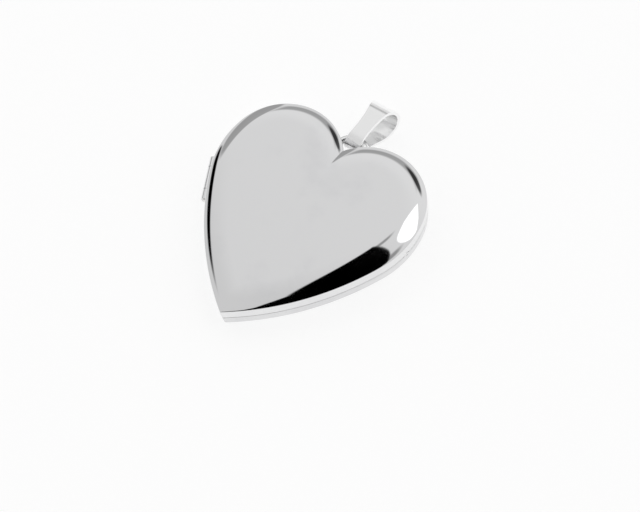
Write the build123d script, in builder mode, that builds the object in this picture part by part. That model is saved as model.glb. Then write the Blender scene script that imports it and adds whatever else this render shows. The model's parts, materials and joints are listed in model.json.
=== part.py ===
from build123d import *
import os
from math import acos, atan2, cos, degrees, radians, sin, sqrt

os.makedirs("parts", exist_ok=True)

# A hinged silver heart locket, in millimetres. It lies on its back: +Z runs from the back cover
# to the front cover, +Y from the tip of the heart to its cleft, and the hinge is on the left, at
# -X. The origin is on the flat of the back, on the heart's centre line. "Inset" is a distance
# inwards from the heart's outline, and "height" a distance from the seam into either half.

# Outline of the heart: four arcs a side, each running tangent into the next. The arcs are one
# shape, drawn for a heart of drawn_width and scaled to heart_width.
heart_width = 35.0
drawn_width = 35.0
outline_scale = heart_width / drawn_width
lobe_radius = 9.7 * outline_scale
shoulder_radius = 14.6 * outline_scale
flank_radius = 46.5 * outline_scale
shoulder_y = 8.9 * outline_scale          # the widest line of the heart, above the origin
lobe_join = 13.0          # degrees, where the lobe's arc meets the shoulder's
flank_join = -25.8        # degrees, where the shoulder's arc meets the flank's
cleft_radius = 0.6

# Covers: a sheet pressed to an upright wall, a rolled edge and a flat face.
cover_depth = 3.0
wall_height = 1.95
roll_width = 4.0
edge_radius = 0.35
sheet = 0.4

# Inner rims, soldered inside the walls. The back rim's lip stands up inside the front rim.
rim_depth = 0.6
rim_ledge = 0.4
rim_inset = 1.4
lip_outer_inset = 1.0
lip_inner_inset = 1.35
lip_height = 0.4
lip_clearance = 0.08

# Picture frames, which snap into the rims and press a window and a card against each cover.
frame_play = 0.05
frame_recess = 0.15
flange_thickness = 0.3
flange_width = 0.85
skirt_thickness = 0.3
window_thickness = 0.25
card_thickness = 0.3
pane_play = 0.1
card_clearance = 0.03

# Hinge: three knuckles on one pin, set into the seam where shoulder and flank meet.
barrel_radius = 0.7
barrel_length = 7.4
barrel_shift = -0.85      # along the barrel, from that meeting point towards the lobe
barrel_stand = 0.25       # the pin's axis, outside the heart's outline
end_knuckle = 1.7
knuckle_gap = 0.08
barrel_clearance = 0.1
pin_radius = 0.34
pin_play = 0.04
pin_head_radius = 0.5
pin_head = 0.25
pin_head_round = 0.2
bearer_height = 0.6
bearer_thickness = 0.4

# Catch: a bead on the lip, under the fingernail nick that is cut across the seam.
catch_angle = -7.0        # degrees, on the right shoulder's arc
bead_radius = 0.15
bead_length = 1.2
bead_clearance = 0.03
nick_radius = 0.8
nick_depth = 0.22

# Ring at the cleft: a wire arch soldered to the back cover, just below the seam.
ring_radius = 2.5
ring_wire = 1.3
ring_stand = 0.928        # from the bottom of the cleft to the middle of the arch
ring_drop = 0.02

# Bail: a tapered strip folded into a long loop that swings on the ring.
bail_sheet = 0.55
bail_play = 0.1
bail_reach = 4.9
bail_top_radius = 2.5
bail_top_width = 5.1
bail_bottom_width = 2.8
bail_side_radius = 20.0
bail_tilt = -18.0         # degrees, swung back out of the heart's plane

seam = cover_depth
tip_overrun = 3.0         # degrees that a flank's sweep runs on past the tip, to be trimmed
nearby = 0.01             # how close a corner lies to the place where it is looked for


def polar(radius, angle):
    """A point at this radius and angle from the origin of the XY plane."""
    return Vector(radius * cos(radians(angle)), radius * sin(radians(angle)))


# Centres of the right-hand arcs, each on the line through the join to its neighbour.
shoulder_centre = Vector(heart_width / 2 - shoulder_radius, shoulder_y)
lobe_centre = shoulder_centre + polar(shoulder_radius - lobe_radius, lobe_join)
flank_centre = shoulder_centre - polar(flank_radius - shoulder_radius, flank_join)
cleft_rise = sqrt((lobe_radius + cleft_radius) ** 2 - lobe_centre.X**2)
cleft_centre = Vector(0, lobe_centre.Y + cleft_rise)
cleft_join = degrees(atan2(cleft_rise, -lobe_centre.X))


def right_arcs(inset):
    """The right half's arcs at an inset: centre, radius, first angle, last angle, inward sign."""
    tip_join = -degrees(acos(-flank_centre.X / (flank_radius - inset)))
    return [
        (cleft_centre, cleft_radius + inset, -90, cleft_join - 180, 1),
        (lobe_centre, lobe_radius - inset, lobe_join, cleft_join, -1),
        (shoulder_centre, shoulder_radius - inset, flank_join, lobe_join, -1),
        (flank_centre, flank_radius - inset, tip_join, flank_join, -1),
    ]


def heart_lines(inset):
    """Draw the whole outline, moved inwards by the inset, into the current line builder."""
    for centre, radius, first, last, _ in right_arcs(inset):
        CenterArc((centre.X, centre.Y), radius, first, last - first)
        CenterArc((-centre.X, centre.Y), radius, 180 - first, first - last)


def heart_sketch(z, outer, inner=None):
    """A flat heart at height z, or the band between two insets of its outline."""
    with BuildSketch(Plane.XY.offset(z)) as flat:
        with BuildLine():
            heart_lines(outer)
        make_face()
        if inner is not None:
            with BuildLine():
                heart_lines(inner)
            make_face(mode=Mode.SUBTRACT)
    return flat.sketch


def layer(facing, low, high, outer, inner=None):
    """Add a slab of the heart between two heights from the seam, in front of it or behind it."""
    extrude(heart_sketch(seam + facing * low, outer, inner), amount=facing * (high - low))


def save(part, name):
    """Label one finished piece and write its file."""
    part.label = name
    export_step(part, f"parts/{name}.step")


# Rolled edge: one arc, level where it meets the flat face.
roll_rise = cover_depth - wall_height
roll_radius = (roll_width**2 + roll_rise**2) / (2 * roll_rise)


def cover_inside(inset):
    """Height of the cover's inner surface over a point of its rolled edge."""
    return cover_depth - roll_radius + sqrt((roll_radius - sheet) ** 2 - (roll_width - inset) ** 2)


# Places that several pieces share.
frame_inset = rim_inset + frame_play
pane_inset = frame_inset + pane_play
card_back = cover_inside(pane_inset) - card_clearance
window_back = card_back - card_thickness
skirt_back = window_back - window_thickness
flange_back = frame_recess + flange_thickness

# Left side, because the outline is symmetric: outward and along the barrel, towards the lobe.
hinge_out = Vector(-cos(radians(flank_join)), sin(radians(flank_join)))
hinge_along = Vector(-sin(radians(-flank_join)), cos(radians(flank_join)))
hinge_foot = Vector(-shoulder_centre.X, shoulder_centre.Y) + hinge_out * shoulder_radius
hinge_point = hinge_foot + hinge_out * barrel_stand + hinge_along * barrel_shift
hinge_plane = Plane(
    origin=(hinge_point.X, hinge_point.Y, seam),
    x_dir=(hinge_out.X, hinge_out.Y, 0),
    z_dir=(hinge_along.X, hinge_along.Y, 0),
)
upper_start = barrel_length / 2 - end_knuckle
lower_start = -barrel_length / 2
middle_start = lower_start + end_knuckle + knuckle_gap
middle_length = barrel_length - 2 * (end_knuckle + knuckle_gap)

# Right side: outward direction and outline point at the catch.
catch_out = polar(1, catch_angle)
catch_foot = shoulder_centre + catch_out * shoulder_radius
ring_z = seam - ring_drop - ring_wire / 2
ring_y = cleft_centre.Y - cleft_radius + ring_stand
ring_top = ring_y + ring_radius


def cover_blank(facing):
    """One pressed half, still without cut-outs: rolled edges swept round each arc, and a face."""
    with BuildPart() as blank:
        for centre, radius, first, last, inward in right_arcs(0):
            past_tip = tip_overrun if centre is flank_centre else 0
            first = first - past_tip
            start = centre + polar(radius, first)
            inward_dir = polar(inward, first)
            upright = Vector(0, 0, facing)
            section = Plane(
                origin=(start.X, start.Y, seam),
                x_dir=inward_dir,
                z_dir=inward_dir.cross(upright),
            )
            with BuildSketch(section):
                with BuildLine():
                    Line((0, 0), (0, wall_height))
                    TangentArc((roll_width, cover_depth), (0, wall_height), tangent=(-1, 0))
                    Line((roll_width, cover_depth), (roll_width, cover_depth - sheet))
                    TangentArc(
                        (roll_width, cover_depth - sheet),
                        (sheet, cover_inside(sheet)),
                        tangent=(-1, 0),
                    )
                    Polyline((sheet, cover_inside(sheet)), (sheet, 0), (0, 0))
                face = make_face()
                corner = face.vertices().filter_by_position(Axis.X, -nearby, nearby)
                corner = corner.filter_by_position(
                    Axis.Y, wall_height - nearby, wall_height + nearby
                )
                fillet(corner, radius=edge_radius)
            revolve(
                axis=Axis((centre.X, centre.Y, seam), (0, 0, 1)),
                revolution_arc=last - first,
            )
        split(bisect_by=Plane.YZ, keep=Keep.TOP)
        mirror(about=Plane.YZ)
        layer(facing, cover_depth - sheet, cover_depth, roll_width)
    return blank.part


def cut_barrel(start, length, clearance):
    """Cut room for a stretch of the hinge barrel."""
    with BuildSketch(hinge_plane.offset(start - clearance)) as bed:
        Circle(barrel_radius + clearance)
    extrude(bed.sketch, amount=length + 2 * clearance, mode=Mode.SUBTRACT)


def cut_hinge(facing):
    """Seat this half's own knuckles, and leave running room round the other half's."""
    ends_clearance = barrel_clearance if facing == 1 else 0
    middle_clearance = 0 if facing == 1 else barrel_clearance
    ends_length = end_knuckle + pin_head + barrel_clearance - ends_clearance
    cut_barrel(lower_start - ends_length + end_knuckle, ends_length, ends_clearance)
    cut_barrel(upper_start, ends_length, ends_clearance)
    cut_barrel(middle_start, middle_length, middle_clearance)


def make_cover(facing, name):
    """A pressed cover with its hinge seats and its half of the fingernail nick."""
    blank = cover_blank(facing)
    nick = catch_foot + catch_out * (nick_radius - nick_depth)
    with BuildPart() as cover:
        add(blank)
        cut_hinge(facing)
        with Locations((nick.X, nick.Y, seam)):
            Sphere(nick_radius, mode=Mode.SUBTRACT)
    save(cover.part, name)


def make_frame(facing, name):
    """A picture frame: a flat flange at the front and a skirt that presses on the window."""
    with BuildPart() as frame:
        layer(facing, frame_recess, flange_back, frame_inset, frame_inset + flange_width)
        layer(facing, flange_back, skirt_back, frame_inset, frame_inset + skirt_thickness)
    save(frame.part, name)


def make_pane(facing, low, high, name):
    """A flat heart cut to drop in behind a frame."""
    with BuildPart() as pane:
        layer(facing, low, high, pane_inset)
    save(pane.part, name)


def make_bearer(facing, low, name):
    """A strip that backs the thin wall behind the hinge knuckles."""
    with BuildPart() as bearer:
        layer(facing, low, low + bearer_height, sheet, sheet + bearer_thickness)
        with BuildSketch(hinge_plane.offset(lower_start)) as span:
            Rectangle(8 * barrel_radius, 4 * cover_depth)
        extrude(span.sketch, amount=barrel_length, mode=Mode.INTERSECT)
        cut_hinge(facing)
    save(bearer.part, name)


def make_knuckle(start, length, bore, name):
    """One tube of the hinge barrel."""
    with BuildPart() as knuckle:
        with BuildSketch(hinge_plane.offset(start)):
            Circle(barrel_radius)
            Circle(bore, mode=Mode.SUBTRACT)
        extrude(amount=length)
    save(knuckle.part, name)


for facing, half in ((1, "front"), (-1, "back")):
    make_cover(facing, f"{half}_cover")
    make_frame(facing, f"{half}_picture_frame")
    make_pane(facing, skirt_back, window_back, f"{half}_window")
    make_pane(facing, window_back, card_back, f"{half}_photo_card")

with BuildPart() as front_rim:
    layer(1, 0, rim_depth, sheet, lip_outer_inset - lip_clearance)
    layer(1, rim_depth, rim_depth + rim_ledge, sheet, rim_inset)
    cut_hinge(1)
save(front_rim.part, "front_inner_rim")

# The bead lies along the lip, sunk into it, and stands just clear of the front rim.
bead_inset = lip_outer_inset - lip_clearance + bead_clearance + bead_radius
bead_middle = catch_foot - catch_out * bead_inset
bead_plane = Plane(
    origin=(bead_middle.X, bead_middle.Y, seam + lip_height / 2),
    z_dir=(-catch_out.Y, catch_out.X, 0),
)

with BuildPart() as catch_bead:
    with BuildSketch(bead_plane):
        Circle(bead_radius)
    extrude(amount=bead_length / 2, both=True)
save(catch_bead.part, "catch_bead")

with BuildPart() as back_rim:
    layer(-1, 0, rim_depth, sheet, rim_inset)
    layer(1, 0, lip_height, lip_outer_inset, lip_inner_inset)
    cut_hinge(-1)
    add(catch_bead.part, mode=Mode.SUBTRACT)
save(back_rim.part, "back_inner_rim")

make_bearer(1, rim_depth + rim_ledge, "front_hinge_bearer")
make_bearer(-1, rim_depth, "back_hinge_bearer")
make_knuckle(lower_start, end_knuckle, pin_radius, "lower_hinge_knuckle")
make_knuckle(upper_start, end_knuckle, pin_radius, "upper_hinge_knuckle")
make_knuckle(middle_start, middle_length, pin_radius + pin_play, "middle_hinge_knuckle")

with BuildPart() as hinge_pin:
    with BuildSketch(hinge_plane.offset(lower_start)):
        Circle(pin_radius)
    extrude(amount=barrel_length)
    for end, direction in ((lower_start, -1), (-lower_start, 1)):
        with BuildSketch(hinge_plane.offset(end)) as head:
            Circle(pin_head_radius)
        extrude(head.sketch, amount=direction * pin_head)
    rims = hinge_pin.edges().filter_by(GeomType.CIRCLE).group_by(SortBy.RADIUS)[-1]
    outer_rims = [rims.sort_by(Axis(hinge_plane.origin, hinge_plane.z_dir))[i] for i in (0, -1)]
    fillet(outer_rims, radius=min(pin_head_round, 0.8 * pin_head))
save(hinge_pin.part, "hinge_pin")

with BuildPart() as bail_ring:
    with BuildSketch(Plane.XZ.offset(-ring_y)):
        with Locations((ring_radius, ring_z)):
            Circle(ring_wire / 2)
    revolve(axis=Axis((0, ring_y, ring_z), (0, 0, 1)), revolution_arc=180)
    extrude(heart_sketch(seam - cover_depth, 0), amount=2 * cover_depth, mode=Mode.SUBTRACT)
save(bail_ring.part, "bail_ring")

# The bail's side view is drawn with its length along x and its front up, then cut to its taper.
bail_along = Vector(0, cos(radians(bail_tilt)), sin(radians(bail_tilt)))
bail_front = Vector(0, -sin(radians(bail_tilt)), cos(radians(bail_tilt)))
bail_side = Plane(origin=(0, ring_top, ring_z), x_dir=bail_along, z_dir=(1, 0, 0))
bail_face = Plane(origin=(0, ring_top, ring_z), x_dir=(1, 0, 0), z_dir=bail_front)
ring_hole = ring_radius - ring_wire / 2
ring_reach = ring_radius - sqrt(ring_hole**2 - (bail_bottom_width / 2) ** 2)
bail_eye = ring_reach + bail_play
bail_end = bail_reach + bail_top_radius + bail_sheet

with BuildPart() as bail:
    with BuildSketch(bail_side):
        Circle(bail_eye + bail_sheet)
        with Locations((bail_reach, 0)):
            Circle(bail_top_radius + bail_sheet)
        make_hull()
        with BuildSketch(mode=Mode.SUBTRACT):
            Circle(bail_eye)
            with Locations((bail_reach, 0)):
                Circle(bail_top_radius)
            make_hull()
    extrude(amount=bail_top_width, both=True)
    with BuildSketch(bail_face) as taper:
        with BuildLine():
            low = -bail_eye - bail_sheet
            right_side = RadiusArc(
                (bail_bottom_width / 2, low), (bail_top_width / 2, bail_end), bail_side_radius
            )
            left_side = RadiusArc(
                (-bail_top_width / 2, bail_end), (-bail_bottom_width / 2, low), bail_side_radius
            )
            Line(right_side @ 1, left_side @ 0)
            Line(left_side @ 1, right_side @ 0)
        make_face()
    extrude(taper.sketch, amount=2 * bail_top_radius + bail_reach, both=True, mode=Mode.INTERSECT)
save(bail.part, "bail")
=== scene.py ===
# %% [markdown]
# # A hinged silver heart locket
#
# A locket is two pressed silver shells that close on a side hinge. A bail, the tapered loop that a
# chain runs through, swings on a wire ring at the heart's cleft. The solid parts come ready made
# from a CAD model. What is left for Blender is what makes silver look like silver: surfaces
# smooth enough to act as mirrors, and a studio that is worth mirroring.
#
# The first step loads the CAD parts.

# %% Load the parts
import json
from math import acos, atan2, cos, degrees, pi, radians, sin, sqrt

import bmesh
import bpy
from mathutils import Matrix, Vector


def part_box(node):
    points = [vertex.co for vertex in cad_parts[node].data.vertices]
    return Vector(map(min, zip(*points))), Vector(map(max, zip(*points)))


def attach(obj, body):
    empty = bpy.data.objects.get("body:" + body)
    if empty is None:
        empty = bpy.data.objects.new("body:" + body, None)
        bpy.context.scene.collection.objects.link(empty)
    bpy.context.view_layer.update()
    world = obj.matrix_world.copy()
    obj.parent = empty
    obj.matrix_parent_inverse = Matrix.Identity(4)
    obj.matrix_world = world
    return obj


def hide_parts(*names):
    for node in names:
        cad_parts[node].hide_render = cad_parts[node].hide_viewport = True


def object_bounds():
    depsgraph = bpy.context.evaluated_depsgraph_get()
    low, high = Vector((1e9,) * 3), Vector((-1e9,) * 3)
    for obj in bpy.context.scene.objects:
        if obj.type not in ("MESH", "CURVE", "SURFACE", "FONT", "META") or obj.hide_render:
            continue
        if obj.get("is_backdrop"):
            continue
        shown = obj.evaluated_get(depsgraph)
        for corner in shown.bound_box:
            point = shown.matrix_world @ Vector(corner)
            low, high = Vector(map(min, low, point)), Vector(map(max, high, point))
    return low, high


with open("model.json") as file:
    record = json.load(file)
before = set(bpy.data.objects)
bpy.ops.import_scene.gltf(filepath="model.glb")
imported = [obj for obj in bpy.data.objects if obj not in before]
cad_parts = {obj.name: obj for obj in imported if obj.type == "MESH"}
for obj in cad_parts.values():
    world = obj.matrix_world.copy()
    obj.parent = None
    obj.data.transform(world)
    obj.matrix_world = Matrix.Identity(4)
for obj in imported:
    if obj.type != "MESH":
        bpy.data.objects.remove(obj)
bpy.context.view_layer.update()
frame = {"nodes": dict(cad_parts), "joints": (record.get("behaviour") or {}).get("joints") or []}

mm = 0.001
nodes = frame["nodes"]

# %% [markdown]
# ## The camera
#
# A pendant is best seen from above, a little to one side, through a longer lens, so that the
# heart keeps its proportions. The camera is described the way it would be set up by hand: the
# point it looks at, how far it leans away from straight above, from which side, how much it is
# rolled, and how far away it stands. Distances are shares of the heart's width, so that the view
# would suit a smaller locket too.

# %% Camera
cover_low, cover_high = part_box("front_cover")
heart_width = cover_high.x - cover_low.x
aim = Vector((0.2197 * heart_width, -0.026 * heart_width, cover_high.z))
lean, side, roll = radians(26.16), radians(-39.03), radians(-17.34)
distance = 5.0 * heart_width

lens = bpy.data.cameras.new("product_lens")
lens.lens = 67.14
lens.sensor_width = 36.0
lens.clip_start = 10 * mm
camera = bpy.data.objects.new("camera", lens)
stance = Matrix.Rotation(side + pi / 2, 4, "Z") @ Matrix.Rotation(lean, 4, "X")
stance = stance @ Matrix.Rotation(roll, 4, "Z")
camera.matrix_world = Matrix.Translation(aim) @ stance @ Matrix.Translation((0, 0, distance))
bpy.context.scene.collection.objects.link(camera)
bpy.context.scene.camera = camera
print("camera at, mm:", [round(c / mm, 1) for c in camera.matrix_world.translation])

# %% [markdown]
# ## The covers as mirrors
#
# A cover is a heart pressed from sheet: a flat face, a long soft roll-off, a tight edge and an
# upright wall. In a mirror finish every flaw of the surface shows, so these two shells are made
# again here from the same arcs as the CAD parts, with enough rows and columns for a clean
# reflection, and with a detail that only shows in a mirror: where the two lobes meet at the cleft
# their roll-offs cross in a crease that dies out towards the middle of the face.
#
# A subdivision surface could do it too, but it pulls away from true arcs. A grid worked out from
# the arcs stays exact. Each column of the grid sits at one place on the outline and each row at
# one inset from it.

# %% The heart's arcs
shoulder_y = 8.9
lobe_radius, shoulder_radius, flank_radius = 9.7, 14.6, 46.5
lobe_join, flank_join = radians(13.0), radians(-25.8)
shoulder_centre = Vector((heart_width / mm / 2 - shoulder_radius, shoulder_y))


def polar(radius, angle):
    """A step from a centre, by its length and its angle."""
    return Vector((radius * cos(angle), radius * sin(angle)))


lobe_centre = shoulder_centre + polar(shoulder_radius - lobe_radius, lobe_join)
flank_centre = shoulder_centre - polar(flank_radius - shoulder_radius, flank_join)


def tip_angle(inset):
    """Where the flank's arc, moved inwards, meets the heart's middle line."""
    return -acos(-flank_centre.x / (flank_radius - inset))


def cleft_angle(inset):
    """Where the lobe's arc, moved inwards, meets the heart's middle line."""
    return pi - acos(lobe_centre.x / (lobe_radius - inset))


print("cleft at y =", round((lobe_centre + polar(lobe_radius, cleft_angle(0))).y, 2), "mm")

# %% [markdown]
# ## The section of a cover
#
# Cut across its border, a cover is four pieces one after another: the flat face, a wide arc that
# rolls off from it, a small arc for the tight edge, and the wall, which drops to the seam. The
# two arcs run tangent into each other, or the mirror would show a kink there. All heights are
# over the seam, in millimetres, and an inset is a distance inwards from the outline.

# %% Measures of the section
cover_depth, wall_height, roll_width, edge_radius, sheet = 3.0, 1.95, 4.0, 0.35, 0.4
roll_rise = cover_depth - wall_height
roll_radius = (roll_width**2 + roll_rise**2) / (2 * roll_rise)
edge_top = cover_depth - roll_radius
edge_top += sqrt((roll_radius - edge_radius) ** 2 - (roll_width - edge_radius) ** 2)
edge_turn = acos((roll_width - edge_radius) / (roll_radius - edge_radius))
edge_end = edge_radius - edge_radius * cos(edge_turn)
inner_radius = roll_radius - sheet


def outer_height(inset):
    """Height of the outer skin over the seam: the tight edge, then the roll-off."""
    if inset < edge_end:
        return edge_top + sqrt(edge_radius**2 - (edge_radius - inset) ** 2)
    return cover_depth - roll_radius + sqrt(roll_radius**2 - (roll_width - inset) ** 2)


def inner_height(inset):
    """Height of the inner skin, which runs one sheet's thickness inside the roll-off."""
    return cover_depth - roll_radius + sqrt(inner_radius**2 - (roll_width - inset) ** 2)


print("the roll-off leaves the edge at", round(degrees(pi / 2 - edge_turn), 1), "degrees")

# %% Rows of the grid
edge_steps, roll_steps, inner_steps = 8, 30, 12
edge_angles = [edge_turn * i / edge_steps for i in range(edge_steps)]
edge_rows = [edge_radius - edge_radius * cos(angle) for angle in edge_angles]
roll_rows = [edge_end + (roll_width - edge_end) * i / roll_steps for i in range(roll_steps + 1)]
inner_rows = [sheet + (roll_width - sheet) * i / inner_steps for i in range(inner_steps + 1)]
print("rows of the outer skin:", len(edge_rows + roll_rows), "and of the inner:", len(inner_rows))

# %% [markdown]
# ## A grid over half a heart
#
# One half is enough, as the other is its mirror image. The columns go round the outline from
# the tip to the cleft, closer together where the arc is tighter. A few more columns carry on
# past the cleft, along the middle line. There the roll-off of one lobe meets that of the other,
# and each column fades a little more of it into the flat face, which leaves the short crease
# that a pressed heart has.

# %% Columns of the grid
flank_columns, shoulder_columns, lobe_columns, crease_columns = 70, 44, 90, 36
crease_fade, crease_end = radians(157), radians(203)


def half_skin(start, insets, height, wall):
    """One skin of a half cover: its points, its faces and the columns of its rim.

    start is the skin's own inset, insets its rows from there to the flat face, height the
    section, and wall the heights of the rows below the first."""
    points, faces, columns = [], [], []

    def column(place):
        columns.append([])
        for low in wall:
            columns[-1].append(len(points))
            points.append((*place(start), low))
        for inset in insets:
            columns[-1].append(len(points))
            points.append((*place(inset), height(inset)))

    def along(centre, radius, first, last, share):
        def place(inset):
            angle = first(inset) + (last(inset) - first(inset)) * share
            return centre + polar(radius - inset, angle)
        return place

    flank_end, shoulder_end = (lambda _: flank_join), (lambda _: lobe_join)
    arcs = [
        (flank_centre, flank_radius, tip_angle, flank_end, flank_columns),
        (shoulder_centre, shoulder_radius, flank_end, shoulder_end, shoulder_columns),
        (lobe_centre, lobe_radius, shoulder_end, lambda _: cleft_angle(start), lobe_columns),
    ]
    for centre, radius, first, last, count in arcs:
        for i in range(0 if centre is flank_centre else 1, count + 1):
            column(along(centre, radius, first, last, i / count))
    rim = list(columns)
    for a, b in zip(columns, columns[1:]):
        faces += [(a[i], b[i], b[i + 1], a[i + 1]) for i in range(len(a) - 1)]

    # Past the cleft the columns start on the middle line, and the roll-off fades into the face.
    above = [c[len(wall):] for c in columns[-1:]]
    for i in range(1, crease_columns + 1):
        angle = cleft_angle(start) + (crease_end - cleft_angle(start)) * i / crease_columns
        first = lobe_radius - lobe_centre.x / -cos(angle)
        fade = min(max((angle - crease_fade) / (crease_end - crease_fade), 0), 1)
        fade = fade * fade * (3 - 2 * fade)
        above.append([])
        for inset in insets:
            here = first + (roll_width - first) * (inset - start) / (roll_width - start)
            seen = here + (roll_width - here) * fade
            above[-1].append(len(points))
            place = lobe_centre + polar(lobe_radius - here, angle)
            points.append((*place, height(max(seen, start))))
    for a, b in zip(above, above[1:]):
        faces += [(a[i], b[i], b[i + 1], a[i + 1]) for i in range(len(a) - 1)]

    flat = [c[-1] for c in columns] + [c[-1] for c in above[1:]] + above[-1][-2::-1]
    faces.append(flat)
    return points, faces, [c[0] for c in rim]


print("grid columns a half:", flank_columns + shoulder_columns + lobe_columns + crease_columns)

# %% [markdown]
# ## From skins to a shell
#
# Thickness matters even in a mirror: when the locket opens, the sheet shows at its rim. The
# Solidify modifier could give it, but a skin of its own keeps the inside on true arcs as well.
# So each shell is sewn from an outer and an inner skin and their mirror images, joined along the
# rim. It stops a hair short of the seam, which leaves a thin dark line between the two covers.

# %% Close a shell
seam_gap = 0.05
seam_z = cover_low.z / mm
weld_distance = 0.0005 * mm


def build_cover(node, facing):
    """A closed shell for one half of the locket, from its two skins and their mirror images."""
    mesh = bmesh.new()
    for sign in (1, -1):
        rims = []
        skins = [
            half_skin(0, edge_rows + roll_rows, outer_height, [seam_gap, edge_top / 2]),
            half_skin(sheet, inner_rows, inner_height, [seam_gap, inner_height(sheet) / 2]),
        ]
        for inward, (points, faces, rim) in enumerate(skins):
            places = [(sign * x * mm, y * mm, (seam_z + facing * z) * mm) for x, y, z in points]
            made = [mesh.verts.new(place) for place in places]
            turned = sign * facing * (1 - 2 * inward) < 0
            for face in faces:
                corners = [made[i] for i in face]
                mesh.faces.new(corners[::-1] if turned else corners)
            rims.append([made[i] for i in rim])
        outer, inner = rims
        for i in range(len(outer) - 1):
            corners = [outer[i], inner[i], inner[i + 1], outer[i + 1]]
            mesh.faces.new(corners[::-1] if sign * facing < 0 else corners)
    bmesh.ops.remove_doubles(mesh, verts=mesh.verts, dist=weld_distance)
    bmesh.ops.recalc_face_normals(mesh, faces=mesh.faces)
    data = bpy.data.meshes.new(node + "_shell")
    mesh.to_mesh(data)
    mesh.free()
    shell = bpy.data.objects.new(node + "_shell", data)
    bpy.context.scene.collection.objects.link(shell)
    return shell


print("a gap of", 2 * seam_gap, "mm is left at the seam")

# %% [markdown]
# ## Hinge seats and the nick
#
# The barrel of the hinge is let into the wall, each knuckle in a seat of its own: snug under the
# knuckles that are soldered to this cover, and a little roomy under those of the other one. On
# the far side a small nick crosses the seam, where a fingernail opens the locket. All of these
# are cut with the Boolean modifier in its exact mode, from plain bars and one ball.

# %% Cutters
hinge = next(j for j in frame["joints"] if j["name"] == "cover_hinge")
hinge_point, hinge_axis = Vector(hinge["pos_m"]), Vector(hinge["axis"]).normalized()
barrel_radius, barrel_clearance, past_pin = 0.7 * mm, 0.1 * mm, 0.1 * mm


def span(node):
    """Where a hinge piece starts and ends along the pin."""
    places = [(v.co - hinge_point) @ hinge_axis for v in nodes[node].data.vertices]
    return min(places), max(places)


def cutter_mesh(mesh, place):
    """Move a cutter's mesh to its place and hand it over."""
    mesh.transform(place)
    data = bpy.data.meshes.new("cutter")
    mesh.to_mesh(data)
    mesh.free()
    return data


def rod(start, end, radius):
    """A cutter: a round bar along the pin."""
    mesh = bmesh.new()
    size = {"radius1": radius, "radius2": radius, "depth": end - start}
    bmesh.ops.create_cone(mesh, cap_ends=True, segments=96, **size)
    along_pin = Vector((0, 0, 1)).rotation_difference(hinge_axis).to_matrix().to_4x4()
    middle = hinge_point + hinge_axis * (start + end) / 2
    return cutter_mesh(mesh, Matrix.Translation(middle) @ along_pin)


def ball(centre, radius):
    """A cutter: a ball, for the fingernail nick."""
    mesh = bmesh.new()
    bmesh.ops.create_uvsphere(mesh, u_segments=64, v_segments=32, radius=radius)
    return cutter_mesh(mesh, Matrix.Translation(centre))


def cut(piece, cutters):
    """Take the cutters' shapes away from a piece for good."""
    for data in cutters:
        cutter = bpy.data.objects.new("cutter", data)
        bpy.context.scene.collection.objects.link(cutter)
        change = piece.modifiers.new("cut", "BOOLEAN")
        change.object = cutter
        change.solver = "EXACT"
        changed = piece.evaluated_get(bpy.context.evaluated_depsgraph_get())
        result = bpy.data.meshes.new_from_object(changed)
        piece.modifiers.clear()
        piece.data = result
        bpy.data.objects.remove(cutter)


print("hinge line through, mm:", [round(c / mm, 2) for c in hinge_point])

# %% Where the nick is
bead_low, bead_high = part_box("catch_bead")
bead = (bead_low + bead_high) / 2
outwards = (Vector((bead.x, bead.y)) / mm - shoulder_centre).normalized()
nick_radius, nick_depth = 0.8, 0.22
nick = (shoulder_centre + outwards * (shoulder_radius + nick_radius - nick_depth)) * mm
nick = Vector((nick.x, nick.y, cover_low.z))
print("nick at, mm:", [round(c / mm, 2) for c in nick])

# %% Two covers
smooth_up_to = radians(35)
covers = {}
for node, facing, body in (("front_cover", 1, "front"), ("back_cover", -1, "back")):
    shell = build_cover(node, facing)
    cutters = [ball(nick, nick_radius * mm)]
    for knuckle in ("lower_hinge_knuckle", "middle_hinge_knuckle", "upper_hinge_knuckle"):
        own = (knuckle == "middle_hinge_knuckle") == (facing == 1)
        spare = 0 if own else barrel_clearance
        start, end = span(knuckle)
        if knuckle != "middle_hinge_knuckle":
            pin_start, pin_end = span("hinge_pin")
            start = pin_start - past_pin if start < 0 else start
            end = pin_end + past_pin if end > 0 else end
        cutters.append(rod(start - spare, end + spare, barrel_radius + spare))
    cut(shell, cutters)
    shell.data.shade_smooth()
    shell.data.set_sharp_from_angle(angle=smooth_up_to)
    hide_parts(node)
    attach(shell, body)
    covers[node] = shell
    print(shell.name, "faces:", len(shell.data.polygons))

# %% [markdown]
# ## Writing shaders as sums
#
# A shader is a graph of nodes, and wiring it by hand hides what it works out. The small class
# below wraps one socket. Adding, multiplying or comparing two of them adds the Math node that
# does it, so `1 - mask` reads as it would in Python. Any other node comes from `node`, which
# first makes its settings and then fills or links its sockets.

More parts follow.
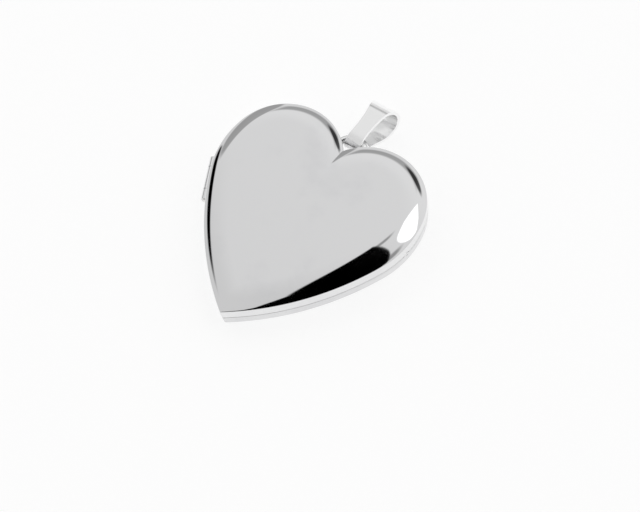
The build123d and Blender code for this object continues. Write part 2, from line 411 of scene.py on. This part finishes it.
# %% A socket that can be used in sums
class Wire:
    """One output socket of a shader, or, before any node is made, just its tree."""

    def __init__(self, tree, socket=None):
        self.tree = tree
        self.socket = socket

    def node(self, kind, sockets=(), output=0, **settings):
        """Add any node: its settings first, then the values or links of its sockets."""
        made = self.tree.nodes.new(kind)
        for name, value in settings.items():
            setattr(made, name, value)
        for name, value in dict(sockets).items():
            self.plug(value, made.inputs[name])
        return Wire(self.tree, made.outputs[output])

    def plug(self, value, socket):
        """Link a wire to a socket, or set a plain value on it."""
        if isinstance(value, Wire):
            self.tree.links.new(value.socket, socket)
        else:
            socket.default_value = value

    def maths(self, operation, *values):
        return self.node("ShaderNodeMath", enumerate(values), operation=operation)

    def __add__(self, other):
        return self.maths("ADD", self, other)

    __radd__ = __add__

    def __sub__(self, other):
        return self.maths("SUBTRACT", self, other)

    def __rsub__(self, other):
        return self.maths("SUBTRACT", other, self)

    def __mul__(self, other):
        return self.maths("MULTIPLY", self, other)

    __rmul__ = __mul__

    def __truediv__(self, other):
        return self.maths("DIVIDE", self, other)

    def root(self):
        return self.maths("SQRT", self)

    def larger(self, other):
        return self.maths("MAXIMUM", self, other)

    def step(self, low, high):
        """Zero below the low value, one above the high one, and a smooth rise between them."""
        sockets = {"Value": self, "From Min": low, "From Max": high}
        return self.node("ShaderNodeMapRange", sockets, interpolation_type="SMOOTHSTEP")

    def axes(self):
        """The three numbers of a vector."""
        parts = self.node("ShaderNodeSeparateXYZ", {"Vector": self}).socket.node
        return [Wire(self.tree, output) for output in parts.outputs]

    def scaled(self, *factors):
        """A vector with each of its numbers multiplied."""
        return self.node("ShaderNodeVectorMath", {0: self, 1: factors}, operation="MULTIPLY")

    def blend(self, first, second):
        """A colour between two, with this wire as the share of the second."""
        sockets = {"Factor": self, 6: (*first, 1), 7: (*second, 1)}
        return self.node("ShaderNodeMix", sockets, output=2, data_type="RGBA")


print("shader sums ready")

# %% [markdown]
# ## The studio
#
# Polished silver has almost no colour of its own. What the eye reads as its shape is the room in
# it. Jewellers show it in a light tent: white cloth all round, which is plain and soft, with a
# slit where the lens looks in, and dark strips hung where an edge has to be drawn.
#
# The tent is a world shader. Each direction is laid on a flat chart with straight up at its
# middle and the angle from straight up as the distance from it, in degrees, so that cloth, slit
# and strips are simple shapes on one drawing. A world costs less noise than lamps and cards,
# and works from every side that the camera is moved to.

# %% The chart of directions
nearly_zero = 0.0001
world = bpy.data.worlds.new("light_tent")
world.use_nodes = True
bpy.context.scene.world = world
tent = Wire(world.node_tree)
direction = tent.node("ShaderNodeTexCoord", output="Generated")
direction = direction.node("ShaderNodeVectorMath", {0: direction}, operation="NORMALIZE")
east, north, up = direction.axes()
from_zenith = up.maths("ARCCOSINE", up) * degrees(1)
level = (east * east + north * north).root().larger(nearly_zero)
chart_x = from_zenith * east / level
chart_y = from_zenith * north / level
print("chart has", len(world.node_tree.nodes), "nodes")


# %% Shapes on the chart
def ellipse(centre_x, centre_y, half_x, half_y, turned, soft):
    """A filled ellipse on the chart, one inside and zero outside, with a soft edge."""
    c, s = cos(radians(turned)), sin(radians(turned))
    along = ((chart_x - centre_x) * c + (chart_y - centre_y) * s) / half_x
    across = ((chart_y - centre_y) * c - (chart_x - centre_x) * s) / half_y
    reach = (along * along + across * across).root()
    return 1 - reach.step(1 - soft, 1 + soft)


def beyond(x, y, angle, soft):
    """One on the left of a line through (x, y) that runs at this angle, in degrees."""
    c, s = cos(radians(angle)), sin(radians(angle))
    return ((chart_y - y) * c - (chart_x - x) * s).step(-soft, soft)


print("shapes ready: ellipse and half-plane")

# %% [markdown]
# ## What hangs in the tent
#
# The slit is where the tent is open towards the lens. It shows as the black shape along one
# flank, with a grey fold of cloth at each end. Above it is a window of bare light, the one
# highlight. Behind the lobes a grey hoop holds the cloth up, and draws their edges. A strip of
# black cloth on the left draws the edge by the hinge, and a small dark card does the same for
# the cleft. Each is a product or a maximum of simple shapes, one inside and zero outside.

# %% Slit and folds
slit = beyond(1.7, -1.7, -58, 0.5).larger(beyond(11.2, -20, -80, 0.5))
slit = slit * (1 - beyond(2.8, 11.4, -11, 0.5)) * (1 - beyond(20.7, 7.6, -20, 0.5))
slit = slit * (1 - beyond(29.5, 3.2, -36, 0.8)) * (1 - from_zenith.step(66, 70))
folds = ellipse(-2.2, 14, 2.5, 3.6, -30, 0.5).larger(ellipse(31, 4.5, 3.6, 8, 10, 0.5))

print("slit ready")

# %% Window of bare light
window = ellipse(19.5, 27, 17.5, 12.6, -8, 0.04)
window = window * (1 - beyond(4, 22.7, 63, 0.5)) * (1 - beyond(12.1, 38.8, -28, 0.5))

print("window ready")

# %% Hoop, cloth and card
hoop_x, hoop_y = chart_x + 22, chart_y - 16
hoop = (hoop_x * hoop_x + hoop_y * hoop_y).root()
grey_hoop = hoop.step(37, 43) * (1 - hoop.step(50, 54)) * chart_y.step(12, 18)
grey_hoop = grey_hoop * (1 - chart_x.step(0, 8)) * chart_x.step(-54, -48)
grey_hoop = grey_hoop.larger(ellipse(-63, 39, 10.5, 28, 0, 0.12))
black_cloth = ellipse(-65, 0.5, 20.5, 4.2, -60, 0.25) * (1 - chart_y.step(16, 18.5))
cleft_card = ellipse(0, 56, 14, 4.2, -26, 0.3)
print("hoop, cloth and card ready")

# %% Brightness of the tent
brightness = 0.71 + 0.09 * chart_y.step(-16, 24) + 0.05 * chart_y.step(20, 45)
brightness = brightness * (1 - 0.5 * grey_hoop) * (1 - 0.08 * from_zenith.step(60, 80))
brightness = brightness * (1 - black_cloth) * (1 - 0.9 * cleft_card)
brightness = brightness * (1 - 0.55 * folds) * (1 - slit) + 0.6 * window

cloth = world.node_tree.nodes["Background"]
cloth.inputs["Color"].default_value = (1, 1, 1, 1)
tent.plug(brightness, cloth.inputs["Strength"])
bpy.context.scene.view_settings.view_transform = "Standard"
print("tent has", len(world.node_tree.nodes), "nodes")

# %% [markdown]
# ## The silver
#
# Sterling silver is the same metal everywhere on a locket, but here it is given five finishes. The
# front and the hinge's knuckles are buffed to a mirror. The back is a little rougher, and its tint
# is painted darker, as painted shade from the floor close under it. Small parts, such as the ring,
# the bail and the picture frames, are tumbled, which leaves them bright but soft. The inside and
# the rims keep a satin from the last brushing. The hinge pin is drawn wire.
#
# Colour is the smallest part of it. Each finish has a tint that wanders, a roughness that is
# higher where fingers have left a haze, and hairline scratches as a bump. The scratches come
# from a noise that is stretched along one direction, which is cheaper than modelled lines and
# needs no unwrapped surface, since it is laid out in millimetres of the part itself.

# %% A new finish
def new_finish(name):
    """An empty finish: the material, its shader and the start of its sums."""
    material = bpy.data.materials.new(name)
    material.use_nodes = True
    return material, material.node_tree.nodes["Principled BSDF"], Wire(material.node_tree)


def millimetres(paint):
    """The place on the part, in millimetres."""
    return paint.node("ShaderNodeTexCoord", output="Object").scaled(1 / mm, 1 / mm, 1 / mm)


def noise(place, scale, detail, **more):
    """Cloudy noise, between zero and one, over a place."""
    sockets = {"Vector": place, "Scale": scale, "Detail": detail, **more}
    return place.node("ShaderNodeTexNoise", sockets)


def bumped(paint, shader, height, depth):
    """Let a height, as high as depth millimetres, tilt the surface."""
    bump = {"Height": height, "Strength": 1.0, "Distance": depth * mm}
    paint.plug(paint.node("ShaderNodeBump", bump), shader.inputs["Normal"])


print("finish helpers ready")


# %% Silver
def silver(name, tint, dull, rough, scratch, stretch):
    """A silver finish.

    tint and dull are its two colours, rough its lowest and its added roughness, scratch the
    height of the scratches in millimetres and stretch how fine they are along x, y and z."""
    material, shader, paint = new_finish(name)
    place = millimetres(paint)
    haze = noise(place, 0.13, 3.0)
    thumb = noise(place, 0.7, 2.0)
    smear = haze.step(0.5, 0.72) * (0.55 + 0.45 * thumb.step(0.35, 0.7))
    paint.plug(smear.blend(tint, dull), shader.inputs["Base Color"])
    paint.plug(rough[0] + rough[1] * smear, shader.inputs["Roughness"])
    bumped(paint, shader, noise(place.scaled(*stretch), 1.0, 4.0), scratch)
    shader.inputs["Metallic"].default_value = 1.0
    return material


print("silver is ready to be tinted")

# %% Five finishes of silver
bright, grey = (0.81, 0.81, 0.815), (0.775, 0.775, 0.785)
pale, back_shaded_tint, back_shaded_dull = (0.93, 0.93, 0.93), (0.75, 0.75, 0.755), (0.7, 0.7, 0.71)
satin_tint, satin_dull = (0.84, 0.83, 0.81), (0.76, 0.75, 0.73)
drawn_tint, drawn_dull = (0.78, 0.77, 0.76), (0.68, 0.67, 0.66)
mirror = silver("mirror_silver", bright, grey, (0.03, 0.05), 0.00012, (0.8, 9.0, 1.0))
# The back's silver: a little rougher than the mirror, with its tint painted darker as shade from
# the floor close under it.
back_shaded = silver("back_silver_painted_shade", back_shaded_tint, back_shaded_dull, (0.05, 0.06), 0.0002, (9.0, 0.8, 1.0))
tumbled = silver("tumbled_silver", pale, bright, (0.2, 0.08), 0.0006, (6.0, 6.0, 6.0))
satin = silver("satin_silver", satin_tint, satin_dull, (0.28, 0.12), 0.002, (2.0, 18.0, 2.0))
drawn = silver("drawn_wire", drawn_tint, drawn_dull, (0.2, 0.1), 0.002, (30.0, 3.0, 30.0))
print("silver finishes:", [m.name for m in (mirror, back_shaded, tumbled, satin, drawn)])

# %% [markdown]
# ## What is inside
#
# Each half holds a picture under a clear sheet. The sheet is cut acetate: clear, faintly warm,
# with light scuffs. True glass, with Transmission, turns black where it lies on a card, as light
# would have to leave it into no air at all. A low Alpha lets the card show through, and is quiet
# to render. The picture itself is left out, as every owner puts in their own, so the
# card is plain: uncoated paper, off-white, with the cloudy grain of its fibres. A flat colour
# would look like plastic there, and the grain shows when the locket is open.

# %% Clear sheet
def clear_sheet():
    """Cut acetate: a clear sheet, faintly warm, with fine scuffs."""
    material, shader, paint = new_finish("clear_acetate")
    place = millimetres(paint)
    cloud = noise(place, 0.3, 4.0)
    scuffs = noise(place, 6.0, 5.0)
    colour = cloud.step(0.3, 0.7).blend((0.93, 0.93, 0.91), (0.86, 0.86, 0.84))
    paint.plug(colour, shader.inputs["Base Color"])
    paint.plug(0.04 + 0.2 * scuffs.step(0.55, 0.8), shader.inputs["Roughness"])
    paint.plug(0.08 + 0.07 * scuffs.step(0.5, 0.8), shader.inputs["Alpha"])
    shader.inputs["IOR"].default_value = 1.48
    return material


clear = clear_sheet()
print("made", clear.name)


# %% Paper card
def paper_card():
    """Uncoated card: off-white, with cloudy fibres and a dry, slightly rough face."""
    material, shader, paint = new_finish("paper_card")
    place = millimetres(paint)
    cloud = noise(place, 1.1, 6.0)
    fibre = noise(place.scaled(3.0, 14.0, 3.0), 1.0, 5.0, Distortion=0.8)
    grain = 0.5 * cloud + 0.5 * fibre
    colour = grain.step(0.35, 0.65).blend((0.88, 0.86, 0.81), (0.76, 0.735, 0.68))
    paint.plug(colour, shader.inputs["Base Color"])
    paint.plug(0.8 + 0.15 * grain, shader.inputs["Roughness"])
    bumped(paint, shader, fibre, 0.01)
    return material


card = paper_card()
print("made", card.name)

# %% [markdown]
# ## A breath of air behind each window
#
# In the CAD model a window lies flat on its card, with no gap at all, and a renderer cannot tell
# two faces apart that share one plane. A real sheet never lies that close. So each window is
# made again, a hair thinner on the side of the card.

# %% Windows
air = 0.03 * mm
for name, facing in (("front_window", 1), ("back_window", -1)):
    low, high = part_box(name)
    data = nodes[name].data.copy()
    for vertex in data.vertices:
        if facing * (vertex.co.z - (low.z + high.z) / 2) > 0:
            vertex.co.z -= facing * air
    pane = bpy.data.objects.new(name + "_pane", data)
    bpy.context.scene.collection.objects.link(pane)
    pane.data.materials.clear()
    pane.data.materials.append(clear)
    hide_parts(name)
    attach(pane, "front" if facing == 1 else "back")
    print(pane.name, "is", round((high.z - low.z - air) / mm, 2), "mm thick")

# %% [markdown]
# ## Each part gets its finish
#
# Most parts are one finish all over. The covers are bright outside and brushed inside, so their
# new shells take two, and each face is given the one of its skin. Which skin a face is on
# follows from its inset and its height, in the same section that the shells were built from.

# %% Which skin
def is_inside(x, y, height):
    """Whether a place on a shell belongs to its inner skin, by its inset and its height."""
    place = Vector((x, y))
    if (y - shoulder_centre.y) * cos(flank_join) < (x - shoulder_centre.x) * sin(flank_join):
        inset = flank_radius - (place - flank_centre).length
    elif (y - shoulder_centre.y) * cos(lobe_join) < (x - shoulder_centre.x) * sin(lobe_join):
        inset = shoulder_radius - (place - shoulder_centre).length
    else:
        inset = lobe_radius - (place - lobe_centre).length
    if inset < roll_width and height > wall_height:
        return outer_height(max(inset, 0)) - height > sheet / 2
    return inset > sheet / 2 and height < cover_depth - sheet / 2


print("the flat face is outside:", not is_inside(shoulder_centre.x - roll_width, 0, cover_depth))

# %% Dress the parts
finish_of = {
    "bail": tumbled, "bail_ring": tumbled, "hinge_pin": drawn, "catch_bead": tumbled,
    "front_window": clear, "back_window": clear, "front_photo_card": card, "back_photo_card": card,
}
for name, piece in nodes.items():
    soft = satin if "rim" in name or "bearer" in name else tumbled
    hard = mirror if "cover" in name or "knuckle" in name else soft
    piece.data.materials.clear()
    piece.data.materials.append(finish_of.get(name, hard))

for name, shell in covers.items():
    facing = 1 if name == "front_cover" else -1
    # The back's outer skin takes the silver whose tint is painted darker as shade from the floor.
    for finish in (mirror if facing == 1 else back_shaded, satin):
        shell.data.materials.append(finish)
    for face in shell.data.polygons:
        x, y, z = face.center / mm
        face.material_index = 1 if is_inside(abs(x), y, facing * (z - seam_z)) else 0
    inside = sum(face.material_index for face in shell.data.polygons)
    print(name, "has", inside, "of", len(shell.data.polygons), "faces on the inside")

# %% [markdown]
# ## The floor
#
# The locket lies on a sheet of opal acrylic that is lit from below, the usual way to a pure
# white ground with hardly a shadow. A plain white floor would go grey here, as the tent is dim.
# So the sheet gives most of its own light by emission, and its dark base leaves only a breath of
# shadow. The bail hangs a little below the back, so a real locket rests on its bail and on the
# far end of its back. The sheet is tilted to touch it at those two places.

# %% Where the locket rests
bail_low, bail_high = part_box("bail")
back_low, back_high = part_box("back_cover")
heel_y = back_low.y + roll_width * mm
prop_y = (bail_low.y + 2 * bail_high.y) / 3
slope = atan2(-bail_low.z, prop_y - heel_y)
print("floor slopes", round(degrees(slope), 2), "degrees")

# %% Floor
floor_drop = 0.05 * mm
floor_mesh = bpy.data.meshes.new("floor")
reach = 40 * heart_width
corners = [(-reach, -reach, 0), (reach, -reach, 0), (reach, reach, 0), (-reach, reach, 0)]
floor_mesh.from_pydata(corners, [], [(0, 1, 2, 3)])
floor = bpy.data.objects.new("floor", floor_mesh)
floor.matrix_world = Matrix.Translation((0, heel_y, -floor_drop)) @ Matrix.Rotation(-slope, 4, "X")
bpy.context.scene.collection.objects.link(floor)
floor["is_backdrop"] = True
opal, opal_shader, _ = new_finish("opal_sheet")
opal_shader.inputs["Base Color"].default_value = (0.3, 0.3, 0.3, 1)
opal_shader.inputs["Roughness"].default_value = 0.9
opal_shader.inputs["Emission Color"].default_value = (1, 1, 1, 1)
opal_shader.inputs["Emission Strength"].default_value = 0.78
floor_mesh.materials.append(opal)
print("floor is", round(2 * reach, 1), "m wide")

# %% [markdown]
#
# The box round everything that is shown, the floor left out, is measured now and its size printed.

# %% Sizes
low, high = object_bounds()
print("visual size in mm:", [round(side / mm, 2) for side in high - low])
